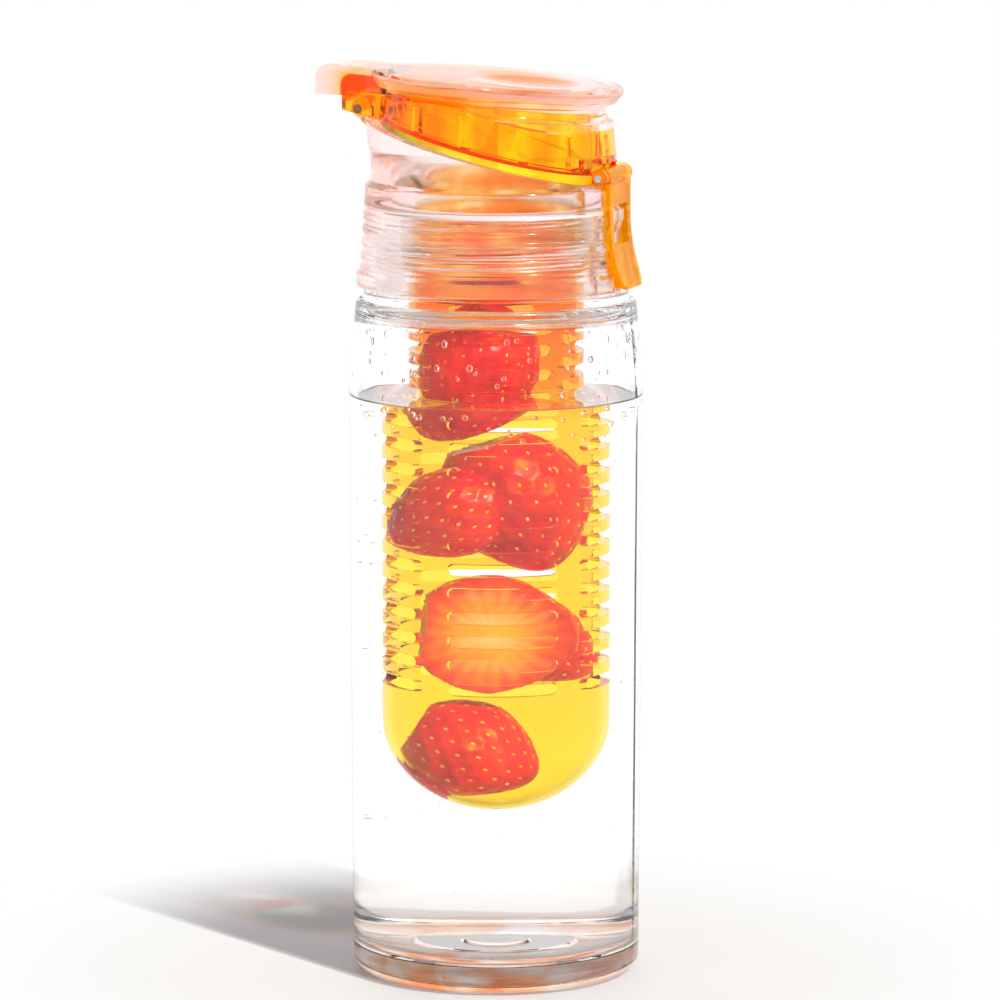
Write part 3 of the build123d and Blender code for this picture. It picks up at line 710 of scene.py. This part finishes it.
# %% Strawberries
SEED_COUNT = 130
SEED_SIZE = 0.62 * MM
SEED_WIDTH = 0.6
SEED_THICKNESS = 0.45
SEED_SINK = 0.7
SEED_TOP = 0.93
SEED_SPAN = 1.80
SEED_AIM = Vector((0, 0, 0.05))
DIMPLE_REACH = 0.16
DIMPLE_DEPTH = 0.028
BERRY_DETAIL = 6
GOLDEN_ANGLE = math.pi * (3 - math.sqrt(5))
TAPER = 0.30
TAPER_BEND = 1.3
FOOT_TAPER = 0.04
LUMP = 0.035
LUMP_FINE = 0.02
CROWN_START = 0.82
CROWN_SPAN = 0.18
CROWN_SINK = 0.22
SEED_SLOT = 1
FLESH_SLOT = 2
CUT_POINT = (1.0, -6.0, 86.5)
CUT_FACING = (0.285, -0.959, 0.05)
CUT_ACROSS = 17 * MM
CUT_UPRIGHT = 16 * MM


def berry_point(direction, wobble):
    """Where the skin lies in this direction from the middle, for a berry of half-size one."""
    up = direction.z
    taper = 1 - TAPER * max(0.0, up) ** TAPER_BEND + FOOT_TAPER * min(0.0, up)
    turn = math.atan2(direction.y, direction.x)
    lump = 1 + LUMP * math.sin(2 * turn + wobble) * (1 - up * up)
    lump += LUMP_FINE * math.sin(3 * up + 2 * turn + 2 * wobble)
    crown = -CROWN_SINK * max(0.0, -up - CROWN_START) / CROWN_SPAN
    return Vector((direction.x * taper * lump, direction.y * taper * lump, up * (1.0 + crown)))


def seed_directions():
    """Evenly spaced directions along a spiral, without the two poles."""
    found = []
    for number in range(SEED_COUNT):
        up = SEED_TOP - SEED_SPAN * (number + 0.5) / SEED_COUNT
        ring_radius = math.sqrt(1 - up * up)
        turn = number * GOLDEN_ANGLE
        found.append(Vector((ring_radius * math.cos(turn), ring_radius * math.sin(turn), up)))
    return found


def make_berry(name, centre, half_sizes, tip, wobble, cut=None, flesh=None):
    """A strawberry with its seeds, its tip pointing along tip, and perhaps cut by a plane."""
    seeds = seed_directions()
    turn = Vector(tip).to_track_quat("Z", "Y").to_matrix().to_4x4()
    size = Matrix.Diagonal((*[h * MM for h in half_sizes], 1))
    place = Matrix.Translation(Vector(centre) * MM) @ turn @ size
    bm = bmesh.new()
    bmesh.ops.create_icosphere(bm, subdivisions=BERRY_DETAIL, radius=1)
    for vertex in bm.verts:
        direction = vertex.co.normalized()
        near = min((direction - seed).length for seed in seeds)
        press = DIMPLE_DEPTH * max(0.0, 1 - (near / DIMPLE_REACH) ** 2)
        vertex.co = berry_point(direction, wobble) * (1 - press)
    bmesh.ops.transform(bm, matrix=place, verts=bm.verts)
    if cut:
        point, normal = Vector(cut[0]) * MM, Vector(cut[1]).normalized()
        geometry = bm.verts[:] + bm.edges[:] + bm.faces[:]
        bmesh.ops.bisect_plane(bm, geom=geometry, plane_co=point, plane_no=normal, clear_outer=True)
        rim = [edge for edge in bm.edges if edge.is_boundary]
        for face in bmesh.ops.contextual_create(bm, geom=rim)["faces"]:
            face.material_index = FLESH_SLOT
            face.smooth = False
    for seed in seeds:
        base = place @ (berry_point(seed, wobble) * (1 - SEED_SINK * DIMPLE_DEPTH))
        ahead = place @ berry_point((seed + SEED_AIM).normalized(), wobble)
        outward = (base - Vector(centre) * MM).normalized()
        if cut and (base - point).dot(normal) > -SEED_SIZE:
            continue
        side = outward.cross((ahead - base).normalized()).normalized()
        axes = Matrix((side, side.cross(outward), outward)).transposed().to_4x4()
        flat = Matrix.Diagonal((SEED_SIZE * SEED_WIDTH, SEED_SIZE, SEED_SIZE * SEED_THICKNESS, 1))
        made = bmesh.ops.create_icosphere(
            bm, subdivisions=1, radius=1, matrix=Matrix.Translation(base) @ axes @ flat)
        for face in {face for vertex in made["verts"] for face in vertex.link_faces}:
            face.material_index = SEED_SLOT
    add_piece(name, bm, [berry_skin, berry_seed] + ([flesh] if flesh else []), "infuser")


make_berry("strawberry_top", (-4.2, -2.0, 151.5), (15.2, 14.5, 19.0), (-0.55, 0.1, -1), 0.3)
make_berry(
    "strawberry_upper_left", (-7.0, -6.0, 117.0), (12.0, 11.5, 14.5), (-0.9, -0.2, -0.55), 1.4)
make_berry("strawberry_upper_right", (3.0, 3.0, 119.5), (15.5, 15.0, 18.5), (0.35, 0.1, -1), 2.2)
cut_middle = tuple(c * MM for c in CUT_POINT)
half_flesh = make_flesh("berry_flesh", cut_middle, CUT_ACROSS, CUT_UPRIGHT)
make_berry(
    "strawberry_half", (0.5, -3.5, 86.5), (16.5, 15.5, 17.0), (1, 0.25, -0.1), 0.9,
    cut=(CUT_POINT, CUT_FACING), flesh=half_flesh)
make_berry("strawberry_behind", (4.0, 8.0, 84.0), (10.5, 10.5, 14.5), (0.8, 0.2, -0.6), 2.9)
make_berry("strawberry_bottom", (-4.6, -2.0, 57.0), (12.5, 12.0, 14.5), (0.9, 0.1, -0.45), 0.1)

# %% [markdown]
# Bubbles hang on the wall and under the surface, and droplets cling to the dry wall above it and
# to the basket. They are small icospheres, placed by a seeded draw, so each run is the same.

# %% Bubbles and droplets
BEAD_SHADE = (0.97, 0.97, 0.97)
WALL_INSIDE = 34.5 * MM
BASKET_OUTSIDE = 21.8 * MM
BUBBLE_GAP = 0.2 * MM
BEAD_STRETCH = (0.9, 1.4)
FLOATING_COUNT = 60
FLOATING_AWAY = (22.5, 28)
FLOATING_HEIGHTS = (136, 144.4)
FLOATING_SIZES = (0.3, 0.8)
DRAW_START = 11
draw = random.Random(DRAW_START)
bead_clear = see_through("bead_clear", CLEAR, BEAD_SHADE, ior=1.333)


def add_beads(name, places, body, detail=2):
    """One piece of many small beads: each place is (centre, half sizes, outward direction)."""
    bm = bmesh.new()
    for centre, sizes, outward in places:
        turn = Vector(outward).to_track_quat("Z", "Y").to_matrix().to_4x4()
        size = Matrix.Diagonal((*sizes, 1))
        place = Matrix.Translation(Vector(centre)) @ turn @ size
        bmesh.ops.create_icosphere(bm, subdivisions=detail, radius=1, matrix=place)
    add_piece(name, bm, [bead_clear], body)


def on_wall(radius, turn, height, bead, flatness):
    """A bead on an upright round wall of that radius."""
    outward = Vector((math.cos(turn), math.sin(turn), 0))
    centre = outward * radius
    centre.z = height
    return centre, (bead, bead * draw.uniform(*BEAD_STRETCH), bead * flatness), outward


def scattered(count, radius, heights, sizes, flatness):
    """Beads spread over a round wall: heights and sizes are a lowest and a highest in mm."""
    return [
        on_wall(radius, draw.uniform(0, FULL_TURN), draw.uniform(*heights) * MM,
                draw.uniform(*sizes) * MM, flatness)
        for _ in range(count)
    ]


dry_wall = scattered(
    70, WALL_INSIDE, heights=(148, 167), sizes=(0.25, 0.9), flatness=0.4)
add_beads("wall_droplets", dry_wall, "bottle")
wet_basket = scattered(
    70, BASKET_OUTSIDE, heights=(150, 176), sizes=(0.25, 0.7), flatness=0.45)
add_beads("basket_droplets", wet_basket, "infuser")
fine = scattered(
    700, WALL_INSIDE - BUBBLE_GAP, heights=(20, 140), sizes=(0.08, 0.2), flatness=0.9)
add_beads("wall_bubbles", fine, "bottle", detail=1)
floating = []
for _ in range(FLOATING_COUNT):
    turn, away = draw.uniform(0, FULL_TURN), draw.uniform(*FLOATING_AWAY) * MM
    floating.append((
        (away * math.cos(turn), away * math.sin(turn), draw.uniform(*FLOATING_HEIGHTS) * MM),
        (draw.uniform(*FLOATING_SIZES) * MM,) * 3, (0, 0, 1)))
add_beads("surface_bubbles", floating, "bottle")

# %% [markdown]
# The floor is a pale sheet. Near the bottle it is plain and takes the shadow. Further out it fades
# to the white of the room for rays that are seen, directly or through the plastic, so the ground
# and the background meet without a line. Sun through a bottle gathers in warm streaks. Those
# would take very many light paths, so they are soft patches of colour here, in the shadow and
# under the foot.

# %% Floor
FLOOR_HALF = 6.0
FADE_START = 70 * MM
FADE_END = 150 * MM
FOOT_INNER = 33 * MM
FOOT_OUTER = 38 * MM
FOOT_GLOW = 0.85
WARM_SPOT = (-80 * MM, 58 * MM, 0)
WARM_TURN = math.radians(142.5)
WARM_LENGTH = 34 * MM
WARM_WIDTH = 13 * MM
WARM_SHARE = 0.34
GATHERED_SCALE = 38
GRAIN_SCALE = 30
BEHIND_PLASTIC = 1.12
SHEET_TINTS = [(0.3, (0.93, 0.93, 0.93)), (0.7, (0.95, 0.95, 0.95))]
GATHERED_TINTS = [
    (0.38, (0.80, 0.20, 0.05)), (0.46, (1.0, 0.48, 0.26)),
    (0.54, (1.0, 0.84, 0.76)), (0.62, (1, 1, 1))]


def gathered_light(tree, rays, place, distance):
    """The warm light that the bottle gathers: its colour, and the share of it at each place."""
    patches = noise(tree, place, GATHERED_SCALE, Distortion=1.5)
    under = map_range(tree, distance, FOOT_INNER, FOOT_OUTER, FOOT_GLOW, 0, smooth=True)
    under = math_node(tree, "MULTIPLY", under, rays["Is Transmission Ray"])
    spot = mapped(tree, place, {
        "Location": WARM_SPOT, "Rotation": (0, 0, WARM_TURN),
        "Scale": (WARM_LENGTH, WARM_WIDTH, 1)}, kind="TEXTURE")
    streak = map_range(tree, length_of(tree, spot), 0, 1, WARM_SHARE, 0, smooth=True)
    return colour_ramp(tree, patches, GATHERED_TINTS), math_node(tree, "MAXIMUM", under, streak)


def make_floor():
    """Pale floor with a fade to white, and the warm light that the bottle gathers."""
    material, tree, output = new_material("pale_floor")
    place = object_place(tree)
    distance = length_of(tree, place)
    rays = node(tree, "ShaderNodeLightPath").outputs
    tint = colour_ramp(tree, noise(tree, place, GRAIN_SCALE), SHEET_TINTS)
    sheet = fed(tree, "ShaderNodeBsdfPrincipled", {"Base Color": tint, "Roughness": 0.6})
    warm, share = gathered_light(tree, rays, place, distance)
    glow = fed(tree, "ShaderNodeEmission", {"Color": warm})
    near = mix_shader(tree, share, sheet.outputs["BSDF"], glow.outputs["Emission"])
    strength = map_range(tree, rays["Is Transmission Ray"], 0, 1, 1, BEHIND_PLASTIC)
    white = fed(tree, "ShaderNodeEmission", {"Strength": strength})
    seen = math_node(tree, "MAXIMUM", rays["Is Camera Ray"], rays["Is Glossy Ray"])
    seen = math_node(tree, "MAXIMUM", seen, rays["Is Transmission Ray"])
    fade = map_range(tree, distance, FADE_START, FADE_END, 0, 1, smooth=True)
    far = math_node(tree, "MULTIPLY", seen, fade)
    feed(tree, output.inputs["Surface"], mix_shader(tree, far, near, white.outputs["Emission"]))
    return material


floor_bm = bmesh.new()
bmesh.ops.create_grid(floor_bm, x_segments=4, y_segments=4, size=FLOOR_HALF)
floor_mesh = bpy.data.meshes.new("floor")
floor_bm.to_mesh(floor_mesh)
floor_bm.free()
floor_mesh.materials.append(make_floor())
floor = bpy.data.objects.new("floor", floor_mesh)
scene.collection.objects.link(floor)
print("floor made, half width", FLOOR_HALF)

# %% [markdown]
# Light: a low sun from the right and in front draws the long shadow and the small glints on the
# ribs, and a white room fills in. The room is brighter to the rays that are seen than to those
# that light surfaces, so the background is white and the colours stay.

# %% Sun and room
SUN_AZIMUTH = VIEW_AZIMUTH + math.radians(36)
SUN_ELEVATION = math.radians(38)
SUN_STRENGTH = 3.8
SUN_ANGLE = math.radians(1.2)
SUN_COLOUR = (1.0, 0.97, 0.93)
ROOM_FILL = 0.28

sun_data = bpy.data.lights.new("sun", "SUN")
sun_data.energy = SUN_STRENGTH
sun_data.angle = SUN_ANGLE
sun_data.color = SUN_COLOUR
sun = bpy.data.objects.new("sun", sun_data)
sun_from = Vector((
    math.sin(SUN_AZIMUTH) * math.cos(SUN_ELEVATION),
    -math.cos(SUN_AZIMUTH) * math.cos(SUN_ELEVATION),
    math.sin(SUN_ELEVATION),
))
sun.rotation_mode = "QUATERNION"
sun.rotation_quaternion = sun_from.to_track_quat("Z", "Y")
scene.collection.objects.link(sun)


def make_room():
    """White to seen rays, softer to the rest."""
    world = bpy.data.worlds.new("room")
    world.use_nodes = True
    tree = world.node_tree
    tree.nodes.clear()
    output = tree.nodes.new("ShaderNodeOutputWorld")
    rays = node(tree, "ShaderNodeLightPath").outputs
    seen = math_node(tree, "MAXIMUM", rays["Is Camera Ray"], rays["Is Glossy Ray"])
    strength = map_range(tree, seen, 0, 1, ROOM_FILL, 1.0)
    behind = map_range(tree, rays["Is Transmission Ray"], 0, 1, 0, BEHIND_PLASTIC)
    strength = math_node(tree, "MAXIMUM", strength, behind)
    light = fed(tree, "ShaderNodeBackground", {"Color": CLEAR, "Strength": strength})
    feed(tree, output.inputs["Surface"], light.outputs["Background"])
    return world


scene.world = make_room()
print("sun from", [round(v, 2) for v in sun_from])
